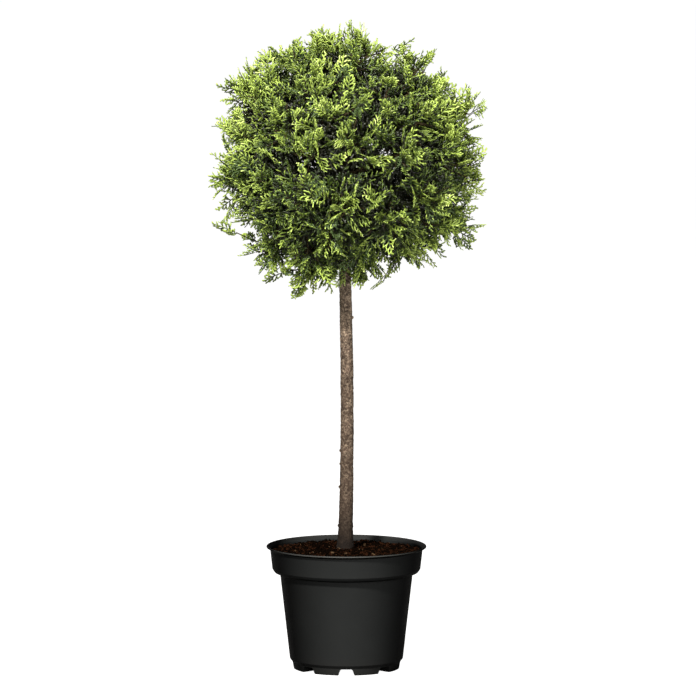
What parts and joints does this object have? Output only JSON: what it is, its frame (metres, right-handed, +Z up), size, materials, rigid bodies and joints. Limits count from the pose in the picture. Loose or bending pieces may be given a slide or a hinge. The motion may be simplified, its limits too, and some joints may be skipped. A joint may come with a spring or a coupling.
{
  "type": "standard lollipop topiary",
  "caption": "Scale-leaved evergreen grown as a ball-headed standard on one clear stem, planted in a round tapered nursery pot with a deep rim and cut-out feet.",
  "frame": {"origin": "on the ground under the middle of the pot, at the bottom centre of the whole plant's box", "axes": "+Z up along the stem, +X to the right of the front view, the front faces -Y"},
  "size_m": [0.4048, 0.398, 0.9437],
  "materials": {
    "pot": "black injection-moulded plastic with a satin sheen and a light edge along the lip",
    "soil": "coarse dark red-brown peat compost with lighter flecks",
    "bark": "thin grey-brown bark with pale flecks and small bud scars",
    "foliage": "flat sprays of scale leaves, yellow-green at the fresh tips and darker blue-green inside"
  },
  "bodies": {
    "root": {"pot": "pot", "soil": "soil", "trunk": "bark", "bough_dome_left": "bark", "foliage_dome_left": "foliage", "bough_dome_right": "bark", "foliage_dome_right": "foliage", "bough_upper_right": "bark", "foliage_upper_right": "foliage", "bough_upper_back_right": "bark", "foliage_upper_back_right": "foliage", "bough_upper_back_left": "bark", "foliage_upper_back_left": "foliage", "bough_upper_left": "bark", "foliage_upper_left": "foliage", "bough_upper_front_left": "bark", "foliage_upper_front_left": "foliage", "bough_upper_front_right": "bark", "foliage_upper_front_right": "foliage", "bough_lower_right": "bark", "foliage_lower_right": "foliage", "bough_lower_back": "bark", "foliage_lower_back": "foliage", "bough_lower_left": "bark", "foliage_lower_left": "foliage", "bough_lower_front_left": "bark", "foliage_lower_front_left": "foliage", "bough_lower_front_right": "bark", "foliage_lower_front_right": "foliage"}
  },
  "joints": []
}
